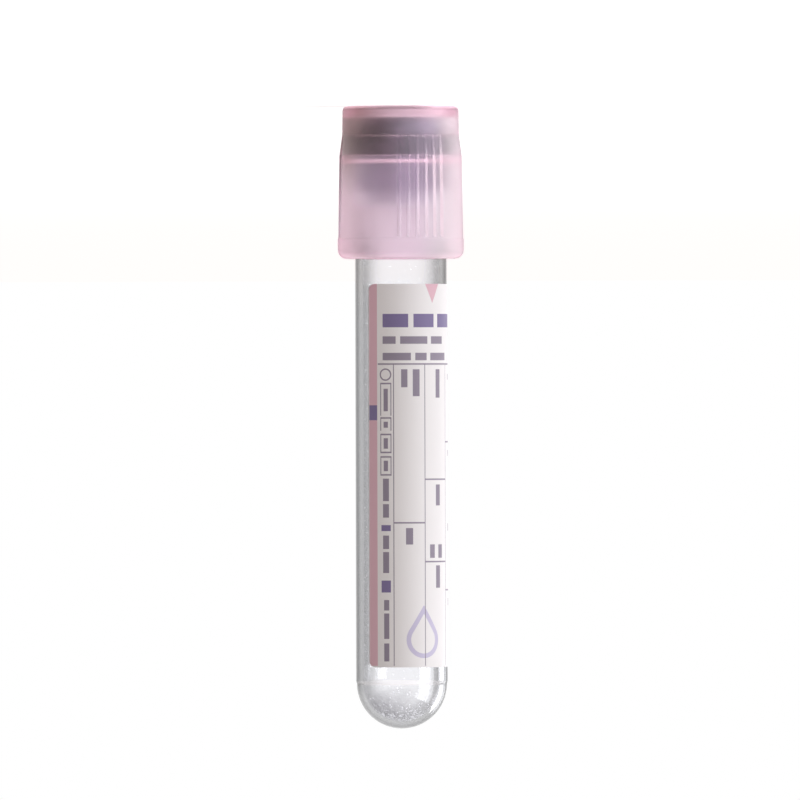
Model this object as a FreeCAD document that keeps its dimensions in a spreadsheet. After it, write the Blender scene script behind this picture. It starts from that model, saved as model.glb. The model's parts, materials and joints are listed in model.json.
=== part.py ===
"""Evacuated blood collection tube with a push-on safety closure, as a FreeCAD macro in millimetres.

Every piece turns about the tube's own axis, so each is built about Z with the tip of the round bottom at z = 0
and the mouth above it. A closed tube can't stand on its round bottom, and it rolls when it is laid down, so one
placement then turns all of them over together: the closed tube stands on the flat top of its closure, with that
face at z = 0, and -Y stays the front.
"""

import FreeCAD, Part
import math
import os

import Sketcher

SIZES = [
    ("tube_length", 75.0, "tip of the round bottom to the mouth"),
    ("tube_radius", 6.0, "outside of the straight wall"),
    ("wall", 1.0, "thickness of the tube's wall"),
    ("bottom_step", 0.1, "how far the moulding step above the round bottom goes in"),
    ("mouth_flare", 0.05, "how much the wall widens to its mouth, on the radius"),
    ("flare_below_skirt", 1.0, "shield's lower edge down to where the flare begins"),
    ("mouth_round", 0.25, "rounding of the mouth's outer edge"),
    ("mouth_lead", 0.3, "bevel on the mouth's inner edge"),
    ("plug_length", 6.4, "part of the stopper that is inside the bore"),
    ("plug_clearance", 0.03, "radial gap between plug and bore"),
    ("plug_taper", 0.9, "how much the plug's end narrows, on the radius"),
    ("plug_taper_length", 1.7, "length of that narrowing"),
    ("recess_land", 1.17, "width of the plug's end round the hollow under it"),
    ("recess_taper", 1.1, "how much the hollow narrows to its roof, on the radius"),
    ("recess_depth", 3.4, "depth of that hollow"),
    ("flange_overhang", 0.85, "how far the stopper's flange goes past the tube's wall"),
    ("flange_thickness", 2.5, "stopper's flange, along the axis"),
    ("flange_step", 0.65, "flange in to the foot of the head's cone"),
    ("head_taper", 1.3, "how much the head narrows to its top, on the radius"),
    ("head_height", 2.55, "flange to the top of the stopper's head"),
    ("well_land", 1.6, "width of the head's top round the needle's well"),
    ("well_taper", 1.2, "how much the well narrows to its floor, on the radius"),
    ("well_depth", 1.1, "depth of that well"),
    ("rubber_round", 0.25, "rounding of the stopper's edges"),
    ("top_wall", 1.45, "shield's top, over the stopper's head"),
    ("port_lap", 0.6, "how far the shield's top laps over the stopper's head"),
    ("port_round", 0.3, "rounding of the edge of the needle's opening"),
    ("head_gap", 0.15, "radial gap between the foot of the head's cone and the collar"),
    ("collar_top_wall", 1.25, "collar, at the top"),
    ("collar_low_wall", 1.3, "collar, where the shoulder begins"),
    ("collar_round", 0.6, "rounding of the collar's top edge"),
    ("shoulder_height", 2.8, "mouth of the tube up to the top of the shoulder"),
    ("skirt_length", 13.5, "mouth of the tube down to the shield's lower edge"),
    ("skirt_gap", 0.75, "radial gap between the skirt and the tube"),
    ("skirt_top_wall", 1.27, "skirt, level with the tube's mouth"),
    ("skirt_low_wall", 1.44, "skirt, just above the bottom rim"),
    ("skirt_lead", 0.3, "bevel on the skirt's inner lower edge"),
    ("rim_proud", 0.075, "how far the bottom rim stands out from the skirt"),
    ("rim_height", 2.6, "bottom rim, along the axis"),
    ("rim_bevel", 0.15, "slope from the skirt out to the rim"),
    ("rim_round", 1.2, "rounding of the rim's lower edge"),
    ("flange_gap", 0.05, "radial gap round the stopper's flange"),
    ("ledge_clearance", 0.2, "radial gap between the inner ledge and the tube's mouth"),
    ("ledge_thickness", 0.6, "ledge that holds the flange from below"),
    ("ledge_bevel", 0.4, "slope under the ledge"),
    ("groove_root_wall", 1.33, "collar's bore to the floor of the grooves between the ribs"),
    ("groove_root_width", 0.35, "groove, at its floor"),
    ("groove_mouth_width", 0.75, "groove, at the widest radius that is cut"),
    ("groove_overcut", 0.5, "how far past the rim the groove's section goes"),
    ("groove_count", 6, "grooves in one group of ribs"),
    ("groove_pitch", 8.5, "degrees from one groove to the next"),
    ("groove_start", -91.5, "degrees from +X to the first groove of a group"),
    ("label_thickness", 0.07, "label"),
    ("label_bottom", 8.1, "tip of the round bottom to the label's lower edge"),
    ("label_gap", 3.3, "shield's lower edge down to the label's upper edge"),
    ("label_sweep", 285.0, "degrees of the tube that the label covers"),
    ("label_start", -134.6, "degrees from +X to the label's first edge"),
    ("label_round", 1.0, "radius of the label's corners"),
    ("bead_radius", 0.3, "dried bead of additive"),
]
# Rings of dried beads on the round bottom: degrees up from the tip, beads in it, degrees to its first bead.
BEAD_RINGS = [(0, 1, 0), (14, 5, 10), (28, 8, 33), (42, 10, 0), (56, 8, 20)]
RIB_GROUPS = 3

# Heights and radii that several pieces share, worked out from the sheet.
MOUTH = "Sizes.tube_length"
PLUG_END = f"({MOUTH} - Sizes.plug_length)"
FLANGE_TOP = f"({MOUTH} + Sizes.flange_thickness)"
HEAD_TOP = f"({FLANGE_TOP} + Sizes.head_height)"
SHIELD_TOP = f"({HEAD_TOP} + Sizes.top_wall)"
SKIRT_END = f"({MOUTH} - Sizes.skirt_length)"
END_RADIUS = "(Sizes.tube_radius - Sizes.bottom_step)"
BORE_RADIUS = "(Sizes.tube_radius - Sizes.wall)"
MOUTH_RADIUS = "(Sizes.tube_radius + Sizes.mouth_flare)"
FLANGE_RADIUS = "(Sizes.tube_radius + Sizes.flange_overhang)"
HEAD_FOOT_RADIUS = f"({FLANGE_RADIUS} - Sizes.flange_step)"
HEAD_TOP_RADIUS = f"({HEAD_FOOT_RADIUS} - Sizes.head_taper)"
COLLAR_BORE = f"({HEAD_FOOT_RADIUS} + Sizes.head_gap)"
COLLAR_TOP_RADIUS = f"({COLLAR_BORE} + Sizes.collar_top_wall)"
SKIRT_BORE = "(Sizes.tube_radius + Sizes.skirt_gap)"
SKIRT_LOW_RADIUS = f"({SKIRT_BORE} + Sizes.skirt_low_wall)"
RIM_RADIUS = f"({SKIRT_LOW_RADIUS} + Sizes.rim_proud)"

doc = FreeCAD.newDocument("BloodTube")
sheet = doc.addObject("Spreadsheet::Sheet", "Sizes")
for row, (alias, number, meaning) in enumerate(SIZES, start=1):
    sheet.set(f"A{row}", alias)
    sheet.set(f"B{row}", str(number))
    sheet.set(f"C{row}", meaning)
    sheet.setAlias(f"B{row}", alias)
doc.recompute()


def value(expression):
    """What an expression on the sheet comes to now."""
    return float(sheet.evalExpression(expression))


# ---------------------------------------------------------------- sketches and features


def new_body(label):
    """An empty body whose label names the piece."""
    body = doc.addObject("PartDesign::Body", label.title().replace("_", ""))
    body.Label = label
    return body


def new_sketch(body, name, plane):
    """A sketch on one of its body's own origin planes."""
    sketch = body.newObject("Sketcher::SketchObject", name)
    origin_plane = next(f for f in body.Origin.OriginFeatures if f.Role == plane)
    sketch.AttachmentSupport = [(origin_plane, "")]
    sketch.MapMode = "FlatFace"
    return sketch


def add_outline(sketch, corners):
    """A closed outline through the corners, each coordinate tied to the sheet.

    A corner is (across, up), or (across, up, centre across, centre up) where a quarter circle about that
    centre leads to the next corner. A coordinate that follows from the circle is (None, rough expression).
    """
    first = sketch.GeometryCount
    rough = [[value(c[1] if isinstance(c, tuple) else c) for c in corner[:2]] for corner in corners]
    ends = []
    for i, corner in enumerate(corners):
        start, end = rough[i], rough[(i + 1) % len(corners)]
        if len(corner) == 2:
            line = Part.LineSegment(FreeCAD.Vector(*start, 0), FreeCAD.Vector(*end, 0))
            sketch.addGeometry(line, False)
            ends.append((1, 2))
            continue
        across, up = value(corner[2]), value(corner[3])
        angles = [math.atan2(p[1] - up, p[0] - across) for p in (start, end)]
        forward = (angles[1] - angles[0]) % (2 * math.pi) < math.pi
        if not forward:
            angles.reverse()
        radius = math.hypot(start[0] - across, start[1] - up)
        circle = Part.Circle(FreeCAD.Vector(across, up, 0), FreeCAD.Vector(0, 0, 1), radius)
        arc = sketch.addGeometry(Part.ArcOfCircle(circle, *angles), False)
        place_point(sketch, arc, 3, corner[2:4])
        ends.append((1, 2) if forward else (2, 1))
    for i, corner in enumerate(corners):
        before = (i - 1) % len(corners)
        joint = (first + before, ends[before][1], first + i, ends[i][0])
        sketch.addConstraint(Sketcher.Constraint("Coincident", *joint))
        place_point(sketch, first + i, ends[i][0], corner[:2])


def place_point(sketch, geometry, point, coordinates):
    """Ties a point's distances from the origin to expressions; a tuple leaves that coordinate free."""
    for kind, expression in zip(("DistanceX", "DistanceY"), coordinates):
        if isinstance(expression, tuple):
            continue
        distance = Sketcher.Constraint(kind, -1, 1, geometry, point, value(expression))
        index = sketch.addConstraint(distance)
        sketch.setExpression(f"Constraints[{index}]", expression)


def revolve(body, name, corners):
    """A solid turned about the body's Z axis from half of its section."""
    sketch = new_sketch(body, name + "Section", "XZ_Plane")
    add_outline(sketch, corners)
    turned = body.newObject("PartDesign::Revolution", name)
    turned.Profile = sketch
    turned.ReferenceAxis = (sketch, ["V_Axis"])
    turned.Angle = 360
    sketch.Visibility = False
    doc.recompute()
    return turned


def must_cut(cut, before):
    """Stops if a cut took nothing away, as one that points away from the solid does."""
    if cut.Shape.Volume > before.Shape.Volume - 1:
        raise RuntimeError(f"{cut.Label} cut nothing")


def round_edges(body, name, feature, rings, radius):
    """Rounds the circular edges that lie at each (radius, height)."""
    wanted = [(value(across), value(up)) for across, up in rings]
    edges = []
    for number, edge in enumerate(feature.Shape.Edges, start=1):
        if edge.Degenerated or not isinstance(edge.Curve, Part.Circle):
            continue
        found = (edge.Curve.Radius, edge.Curve.Center.z)
        if any(math.dist(found, ring) < 1e-4 for ring in wanted):
            edges.append(f"Edge{number}")
    if len(edges) != len(rings):
        raise RuntimeError(f"{name}: {len(edges)} of {len(rings)} edges found")
    fillet = body.newObject("PartDesign::Fillet", name)
    fillet.Base = (feature, edges)
    fillet.setExpression("Radius", radius)
    doc.recompute()
    return fillet


# ---------------------------------------------------------------- the pieces


def make_tube():
    """One moulding: a straight wall, a slight flare to its mouth, and a round bottom below a small step."""
    body = new_body("tube")
    turned = revolve(body, "Wall", [
        ("0", "0", "0", END_RADIUS),
        ((None, END_RADIUS), END_RADIUS),
        ("Sizes.tube_radius", f"{END_RADIUS} + Sizes.bottom_step"),
        ("Sizes.tube_radius", f"{SKIRT_END} - Sizes.flare_below_skirt"),
        (MOUTH_RADIUS, MOUTH),
        (f"{BORE_RADIUS} + Sizes.mouth_lead", MOUTH),
        (BORE_RADIUS, f"{MOUTH} - Sizes.mouth_lead"),
        (BORE_RADIUS, END_RADIUS, "0", END_RADIUS),
        ("0", (None, f"{END_RADIUS} - {BORE_RADIUS}")),
    ])
    round_edges(body, "MouthRound", turned, [(MOUTH_RADIUS, MOUTH)], "Sizes.mouth_round")
    return body


def make_stopper():
    """Rubber: a cone-shaped head with a well, a flange that seats on the tube's mouth, and a hollow plug."""
    plug_radius = f"({BORE_RADIUS} - Sizes.plug_clearance)"
    plug_end_radius = f"({plug_radius} - Sizes.plug_taper)"
    recess_radius = f"({plug_end_radius} - Sizes.recess_land)"
    recess_roof = (f"{recess_radius} - Sizes.recess_taper", f"{PLUG_END} + Sizes.recess_depth")
    taper_top = (plug_radius, f"{PLUG_END} + Sizes.plug_taper_length")
    well_rim = (f"{HEAD_TOP_RADIUS} - Sizes.well_land", HEAD_TOP)
    well_floor = (f"{well_rim[0]} - Sizes.well_taper", f"{HEAD_TOP} - Sizes.well_depth")
    body = new_body("stopper")
    turned = revolve(body, "Rubber", [
        ("0", recess_roof[1]),
        recess_roof,
        (recess_radius, PLUG_END),
        (plug_end_radius, PLUG_END),
        taper_top,
        (plug_radius, MOUTH),
        (FLANGE_RADIUS, MOUTH),
        (FLANGE_RADIUS, FLANGE_TOP),
        (HEAD_FOOT_RADIUS, FLANGE_TOP),
        (HEAD_TOP_RADIUS, HEAD_TOP),
        well_rim,
        well_floor,
        ("0", well_floor[1]),
    ])
    edges = [
        recess_roof,
        (plug_end_radius, PLUG_END),
        taper_top,
        (HEAD_TOP_RADIUS, HEAD_TOP),
        well_rim,
        well_floor,
    ]
    round_edges(body, "RubberRound", turned, edges, "Sizes.rubber_round")
    return body


def make_shield():
    """One moulding: a collar with the needle's opening, a flared skirt with grip ribs, and a bottom rim.

    Inside, the collar's shoulder and a ledge hold the stopper's flange between them.
    """
    flange_bore = f"({FLANGE_RADIUS} + Sizes.flange_gap)"
    ledge_radius = f"({MOUTH_RADIUS} + Sizes.ledge_clearance)"
    ledge_end = f"{MOUTH} - Sizes.ledge_thickness"
    port_radius = f"({HEAD_TOP_RADIUS} - Sizes.port_lap)"
    rim_top = f"{SKIRT_END} + Sizes.rim_height"
    body = new_body("shield")
    turned = revolve(body, "Shell", [
        (f"{SKIRT_BORE} + Sizes.skirt_lead", SKIRT_END),
        (RIM_RADIUS, SKIRT_END),
        (RIM_RADIUS, rim_top),
        (SKIRT_LOW_RADIUS, f"{rim_top} + Sizes.rim_bevel"),
        (f"{SKIRT_BORE} + Sizes.skirt_top_wall", MOUTH),
        (f"{COLLAR_BORE} + Sizes.collar_low_wall", f"{MOUTH} + Sizes.shoulder_height"),
        (COLLAR_TOP_RADIUS, SHIELD_TOP),
        (port_radius, SHIELD_TOP),
        (port_radius, HEAD_TOP),
        (COLLAR_BORE, HEAD_TOP),
        (COLLAR_BORE, FLANGE_TOP),
        (flange_bore, FLANGE_TOP),
        (flange_bore, MOUTH),
        (ledge_radius, MOUTH),
        (ledge_radius, ledge_end),
        (SKIRT_BORE, f"{ledge_end} - Sizes.ledge_bevel"),
        (SKIRT_BORE, f"{SKIRT_END} + Sizes.skirt_lead"),
    ])
    rounded = round_edges(body, "RimRound", turned, [(RIM_RADIUS, SKIRT_END)], "Sizes.rim_round")
    collar_edge = [(COLLAR_TOP_RADIUS, SHIELD_TOP)]
    rounded = round_edges(body, "CollarRound", rounded, collar_edge, "Sizes.collar_round")
    rounded = round_edges(body, "PortRound", rounded, [(port_radius, SHIELD_TOP)], "Sizes.port_round")
    cut_grip_grooves(body, rounded, f"{rim_top} + Sizes.rim_bevel")
    return body


def cut_grip_grooves(body, shell, foot):
    """Grooves from the bottom rim up over the shoulder, in groups; the ribs are what stands between them."""
    root = f"({COLLAR_BORE} + Sizes.groove_root_wall)"
    outer = f"({RIM_RADIUS} + Sizes.groove_overcut)"
    section = [
        (root, "-Sizes.groove_root_width / 2"),
        (outer, "-Sizes.groove_mouth_width / 2"),
        (outer, "Sizes.groove_mouth_width / 2"),
        (root, "Sizes.groove_root_width / 2"),
    ]
    sketch = new_sketch(body, "GrooveSection", "XY_Plane")
    sketch.setExpression("AttachmentOffset.Base.z", foot)
    for group in range(RIB_GROUPS):
        turn = f"((Sizes.groove_start + {group * 360 / RIB_GROUPS}) * 1deg)"
        add_outline(sketch, [
            (f"{out} * cos({turn}) - ({side}) * sin({turn})", f"{out} * sin({turn}) + ({side}) * cos({turn})")
            for out, side in section
        ])
    doc.recompute()
    groove = body.newObject("PartDesign::Pocket", "Groove")
    groove.Profile = sketch
    groove.Reversed = True
    groove.setExpression("Length", f"{SHIELD_TOP} - ({foot})")
    doc.recompute()
    must_cut(groove, shell)
    pattern = body.newObject("PartDesign::PolarPattern", "Grooves")
    pattern.Originals = [groove]
    pattern.Axis = (sketch, ["N_Axis"])
    pattern.setExpression("Occurrences", "Sizes.groove_count")
    pattern.setExpression("Angle", "(Sizes.groove_count - 1) * Sizes.groove_pitch")
    body.Tip = pattern
    doc.recompute()
    must_cut(pattern, groove)


def make_label():
    """A thin sheet round the tube's wall, with a clear strip left between its rounded ends.

    The strip is cut out of a full ring, straight through one side of it.
    """
    bottom = "Sizes.label_bottom"
    top = f"({SKIRT_END} - Sizes.label_gap)"
    outside = "(Sizes.tube_radius + Sizes.label_thickness)"
    body = new_body("label")
    ring = revolve(body, "Film", [
        ("Sizes.tube_radius", bottom),
        (outside, bottom),
        (outside, top),
        ("Sizes.tube_radius", top),
    ])
    edge = "(Sizes.tube_radius * sin((180 - Sizes.label_sweep / 2) * 1deg))"
    inner = f"({edge} + Sizes.label_round)"
    low, high = f"({bottom} + Sizes.label_round)", f"({top} - Sizes.label_round)"
    below, above = f"({bottom} - Sizes.label_round)", f"({top} + Sizes.label_round)"
    strip = new_sketch(body, "StripOutline", "YZ_Plane")
    add_outline(strip, [
        (inner, bottom, inner, low),
        ((None, edge), low),
        (edge, high, inner, high),
        (inner, (None, top)),
        (inner, above),
        (f"-{inner}", above),
        (f"-{inner}", top, f"-{inner}", high),
        ((None, f"-{edge}"), high),
        (f"-{edge}", low, f"-{inner}", low),
        (f"-{inner}", (None, bottom)),
        (f"-{inner}", below),
        (inner, below),
    ])
    doc.recompute()
    pocket = body.newObject("PartDesign::Pocket", "Strip")
    pocket.Profile = strip
    pocket.Reversed = True
    pocket.setExpression("Length", f"2 * {outside}")
    doc.recompute()
    must_cut(pocket, ring)
    return body


def make_additive():
    """Dried beads on the round bottom: spheres centred on the wall's surface, cut to the half inside."""
    beads = []
    for up, count, first in BEAD_RINGS:
        for step in range(count):
            turn = first + step * 360 / count
            bead = doc.addObject("Part::Sphere", "Bead")
            bead.setExpression("Radius", "Sizes.bead_radius")
            out = f"{BORE_RADIUS} * sin({up}deg)"
            bead.setExpression("Placement.Base.x", f"{out} * cos({turn}deg)")
            bead.setExpression("Placement.Base.y", f"{out} * sin({turn}deg)")
            bead.setExpression("Placement.Base.z", f"{END_RADIUS} - {BORE_RADIUS} * cos({up}deg)")
            beads.append(bead)
    whole_beads = doc.addObject("Part::Compound", "WholeBeads")
    whole_beads.Links = beads
    cavity = doc.addObject("Part::Sphere", "RoundBottomCavity")
    cavity.setExpression("Radius", BORE_RADIUS)
    cavity.setExpression("Placement.Base.z", END_RADIUS)
    kept = doc.addObject("Part::Common", "Additive")
    kept.Base = whole_beads
    kept.Tool = cavity
    kept.Label = "dried_additive"
    doc.recompute()
    return kept


# ---------------------------------------------------------------- standing the tube on its closure


def standing_placement():
    """The frame that the pieces are built in, turned over about Y so that the closure's top is on the ground."""
    turned_over = FreeCAD.Rotation(FreeCAD.Vector(0, 1, 0), 180)
    return FreeCAD.Placement(FreeCAD.Vector(0, 0, value(SHIELD_TOP)), turned_over)


label = make_label()
pieces = [make_tube(), make_stopper(), make_shield(), label, make_additive()]
standing = standing_placement()
for piece in pieces:
    piece.Placement = standing
strip_middle = value("Sizes.label_start - (360 - Sizes.label_sweep) / 2")
label_turn = FreeCAD.Rotation(FreeCAD.Vector(0, 0, 1), strip_middle)
label.Placement = standing * FreeCAD.Placement(FreeCAD.Vector(), label_turn)
doc.recompute()

for feature in doc.Objects:
    if "Invalid" in feature.State or "Error" in feature.State:
        raise RuntimeError(f"{feature.Label} failed: {feature.State}")
for piece in pieces:
    if piece.Shape.isNull() or not piece.Shape.isValid():
        raise RuntimeError(f"{piece.Label} has no valid shape")

os.makedirs("parts", exist_ok=True)
for piece in pieces:
    piece.Shape.exportStep(f"parts/{piece.Label}.step")
    box = piece.Shape.BoundBox
    print(
        f"{piece.Label}: {len(piece.Shape.Solids)} solids, {piece.Shape.Volume:.2f} mm3,",
        f"x {box.XMin:.3f} {box.XMax:.3f}, y {box.YMin:.3f} {box.YMax:.3f}, z {box.ZMin:.3f} {box.ZMax:.3f}",
    )
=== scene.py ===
"""A closed blood collection tube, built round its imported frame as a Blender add-on's operators.

The tube stands on the flat top of its closure, so its round bottom is its highest point. Sizes along the
axis are heights from the tip of that round bottom towards the closure, and a turn about the axis is counted
from the front, -Y, and grows towards -X, the way the printed label runs on. The lamps stand on the -X side.
"""

import json
import math

import bmesh
import bpy
from bpy.props import FloatProperty, FloatVectorProperty, IntProperty, PointerProperty
from mathutils import Matrix, Vector

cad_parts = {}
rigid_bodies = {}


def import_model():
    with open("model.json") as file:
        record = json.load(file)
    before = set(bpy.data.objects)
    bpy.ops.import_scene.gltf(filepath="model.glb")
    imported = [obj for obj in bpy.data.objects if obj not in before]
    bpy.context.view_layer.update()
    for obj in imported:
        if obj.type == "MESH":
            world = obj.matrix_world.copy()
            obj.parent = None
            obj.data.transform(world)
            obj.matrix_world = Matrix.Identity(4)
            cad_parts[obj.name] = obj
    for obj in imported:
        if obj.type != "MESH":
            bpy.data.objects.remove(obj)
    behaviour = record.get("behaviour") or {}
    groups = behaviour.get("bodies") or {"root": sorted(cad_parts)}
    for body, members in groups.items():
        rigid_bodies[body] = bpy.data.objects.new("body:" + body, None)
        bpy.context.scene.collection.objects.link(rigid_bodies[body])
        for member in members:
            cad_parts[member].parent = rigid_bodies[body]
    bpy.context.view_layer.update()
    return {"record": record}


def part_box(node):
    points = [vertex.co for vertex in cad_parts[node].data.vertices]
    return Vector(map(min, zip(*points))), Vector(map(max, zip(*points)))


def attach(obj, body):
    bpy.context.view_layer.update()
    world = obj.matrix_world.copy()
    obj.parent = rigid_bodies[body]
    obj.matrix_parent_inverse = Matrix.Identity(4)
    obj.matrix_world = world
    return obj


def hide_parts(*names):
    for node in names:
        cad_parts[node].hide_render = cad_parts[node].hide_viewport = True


bl_info = {
    "name": "Blood collection tube",
    "version": (1, 0, 0),
    "blender": (4, 5, 0),
    "location": "3D View > Sidebar > Sample tube",
    "description": "Builds a closed blood collection tube with its label, closure and dried additive",
    "category": "Add Mesh",
}

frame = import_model()

MM = 0.001
HAIR = 0.01 * MM  # the gap between faces that would otherwise lie in one place
ROUND_STEPS = 6  # faces along a rounding


# ---- places that come from the frame


def mount_radius(name):
    """The radius that the record gives for one of its mounts."""
    mount = next(mount for mount in frame["record"]["mounts"] if mount["name"] == name)
    return mount["dims"]["r_mm"] * MM


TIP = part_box("tube")[1].z
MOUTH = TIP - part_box("tube")[0].z
MOUTH_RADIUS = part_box("tube")[1].x
TUBE_RADIUS = mount_radius("tube_shaft")
PLUG_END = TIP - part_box("stopper")[1].z
HEAD_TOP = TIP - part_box("stopper")[0].z
FLANGE_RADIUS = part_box("stopper")[1].x
SHIELD_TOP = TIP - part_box("shield")[0].z
SKIRT_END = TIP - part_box("shield")[1].z
RIM_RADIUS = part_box("shield")[1].x
PORT_RADIUS = mount_radius("needle_port")
LABEL_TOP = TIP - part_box("label")[0].z
LABEL_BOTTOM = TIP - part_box("label")[1].z


# ---- settings


def number(default, description, kind=FloatProperty, **options):
    """A number that a user can change."""
    return kind, {"default": default, "description": description, **options}


def length(millimetres, description):
    """A length that a user can change."""
    return number(millimetres * MM, description, min=0.0, unit="LENGTH", precision=5)


def angle(degrees, description):
    """An angle that a user can change."""
    return number(math.radians(degrees), description, subtype="ANGLE")


def share(default, description):
    """A number from 0 to 1 that a user can change."""
    return number(default, description, min=0.0, max=1.0, subtype="FACTOR")


def count(default, description):
    """A whole number that a user can change."""
    return number(default, description, IntProperty, min=1)


def colour(code, description):
    """A colour that a user can change, given as the usual six hex digits."""
    channels = [(code >> shift & 0xFF) / 255 for shift in (16, 8, 0)]
    linear = [c / 12.92 if c <= 0.04045 else ((c + 0.055) / 1.055) ** 2.4 for c in channels]
    return number(linear, description, FloatVectorProperty, min=0.0, max=1.0, subtype="COLOR")


def named(group):
    """Makes a group's settings Blender properties, each with its own name as its label."""
    for setting, (kind, options) in group.__annotations__.items():
        label = setting.replace("_", " ").capitalize()
        group.__annotations__[setting] = kind(name=label, **options)
    return group


@named
class TubeSizes(bpy.types.PropertyGroup):
    """Sizes of the clear tube."""

    wall: length(1.0, "Thickness of the tube's wall")
    bottom_step: length(0.1, "How far the step above the round bottom goes in")
    step_slope: number(3.0, "Height of that step over its depth")
    step_round: length(0.3, "Rounding of the step's edges")
    flare_start: length(1.0, "Shield's lower edge down to where the wall begins to widen")
    mouth_round: length(0.25, "Rounding of the mouth's outer edge")
    mouth_lead: length(0.3, "Bevel on the mouth's inner edge")
    around: count(256, "Columns of faces around the tube")
    tint: colour(0xF8F8FA, "Colour that the clear wall lends to what is seen through it")
    mist: colour(0xA29EA7, "Colour of the dried mist on the bore's round bottom")
    # Painted shade: the colour that the bare wall is drawn towards where it is seen edge-on, for the dark
    # surroundings that it shows there.
    edge_tint: colour(0x262629, "Colour of the clear wall where it is seen edge-on")


@named
class StopperSizes(bpy.types.PropertyGroup):
    """Sizes and colour of the rubber stopper."""

    plug_squeeze: length(0.01, "How far the plug is pressed into the bore")
    plug_taper: length(0.9, "How much the plug's end narrows")
    plug_taper_length: length(1.7, "Length of that narrowing")
    recess_radius: length(2.9, "Hollow in the plug, at its open end")
    recess_taper: length(1.1, "How much that hollow narrows")
    recess_depth: length(3.4, "Depth of that hollow")
    flange_thickness: length(2.5, "Flange, along the axis")
    flange_step: length(0.65, "Flange in to the foot of the head's cone")
    head_taper: length(1.3, "How much the head narrows to its top")
    well_land: length(1.6, "Width of the head's top round the needle's well")
    well_taper: length(1.2, "How much the well narrows to its floor")
    well_depth: length(1.1, "Depth of the well")
    edge_round: length(0.25, "Rounding of the rubber's edges")
    rubber: colour(0x342A36, "Colour of the rubber")
    # Painted light: the plug is drawn paler than the flange and the head, and towards the plug end's colour
    # near its end.
    plug_paler: number(13.0, "How much paler the plug is drawn than the flange and the head")
    plug_end: colour(0xEDE1ED, "Colour that the plug is drawn towards its end")


@named
class ShieldSizes(bpy.types.PropertyGroup):
    """Sizes and colour of the closure's plastic shield."""

    port_round: length(0.3, "Rounding of the edge of the needle's opening")
    collar_top: length(7.6, "Radius of the collar at its top")
    collar_low: length(7.65, "Radius of the collar where the shoulder begins")
    collar_bore: length(6.35, "Radius of the collar's inside")
    collar_round: length(0.6, "Rounding of the collar's top edge")
    shoulder_height: length(2.8, "Mouth of the tube up to the top of the shoulder")
    skirt_top: length(8.02, "Radius of the skirt level with the tube's mouth")
    skirt_round: length(1.0, "Rounding where the shoulder meets the skirt")
    shoulder_round: length(0.5, "Rounding where the shoulder meets the collar")
    skirt_low: length(8.19, "Radius of the skirt just above the bottom rim")
    skirt_gap: length(0.75, "Radial gap between the skirt and the tube")
    skirt_lead: length(0.3, "Bevel on the skirt's inner lower edge")
    rim_height: length(2.6, "Bottom rim, along the axis")
    rim_bevel: length(0.15, "Slope from the skirt out to the rim")
    rim_round: length(1.2, "Rounding of the rim's lower edge")
    flange_gap: length(0.05, "Radial gap round the stopper's flange")
    ledge_clearance: length(0.2, "Radial gap between the inner ledge and the mouth")
    ledge_thickness: length(0.6, "Ledge that holds the flange from below")
    ledge_bevel: length(0.4, "Slope under the ledge")
    edge_round: length(0.08, "Rounding of the small edges")
    groove_root: length(7.68, "Radius of the floor of the grooves between the ribs")
    groove_floor: length(0.1, "Half the width of a groove's floor")
    groove_mouth: length(0.3, "Half the width of a groove where it meets the ribs")
    groove_count: count(6, "Grooves in one group of ribs")
    groove_groups: count(3, "Groups of ribs around the shield")
    groove_pitch: angle(8.5, "From one groove to the next")
    groove_start: angle(-1.5, "From the front to the first groove of a group")
    plastic: colour(0xFDF5FA, "Colour of the see-through plastic's skin")
    depth: colour(0xFFFAFC, "Colour that a millimetre of the plastic lends to light through it")
    gathered: colour(0xB4949E, "Colour of the light that gathers along the edges")
    veil: colour(0xD6CCEA, "Colour of the veil that the lamps lay over the plastic")
    skirt_veil: share(0.2, "Veil over the skirt, on the side turned to the lamps")
    plug_veil: share(0.12, "Veil over the plug, on the side turned away from the lamps")
    collar_veil: share(0.26, "Veil over the collar, on the side turned to the lamps")
    # Painted shade on the side turned away from the lamps (shade), and painted light, a paler tint, on the
    # side turned to them (thin).
    shade: colour(0x9E938B, "Tint of the plastic on the side turned away from the lamps")
    thin: colour(0xFDFFFF, "Tint of the plastic on the side turned to the lamps")


@named
class LabelSizes(bpy.types.PropertyGroup):
    """Sizes and colours of the label."""

    left_edge: angle(-44.6, "From the front to the label's left edge")
    sweep: angle(285.0, "How far round the tube the label goes")
    thickness: length(0.07, "Thickness of the label")
    corner: length(1.0, "Rounding of the label's corners")
    film: colour(0xF5F3F3, "Colour of the bare label")
    pink: colour(0xE5BCC8, "Colour of the stripe and the other pink fields")
    purple: colour(0x7F739C, "Colour of the bold bars")
    grey: colour(0x948B9B, "Colour of the rules, boxes and thin bars")
    pale: colour(0xCFC9E2, "Colour of the pale shape near the label's foot")
    glow: share(0.13, "Light that comes through the film to its back")


@named
class AdditiveSizes(bpy.types.PropertyGroup):
    """Sizes and colour of the dried additive."""

    smallest: length(0.05, "Radius of the smallest droplet")
    largest: length(0.16, "Radius of the largest droplet")
    reach: length(62.0, "How high up the bore the spray goes")
    density: number(5.5, "Droplets per square millimetre at the tip")
    dense_depth: length(1.9, "Distance from the tip within which the droplets are dense")
    stray: share(0.09, "Density far up the wall, as a share of that at the tip")
    seed: count(4, "Chooses one scatter of the droplets")
    white: colour(0xF4F4F8, "Colour of the dried droplets")
    glow: share(1.0, "Light that the droplets catch through the clear wall")


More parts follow.
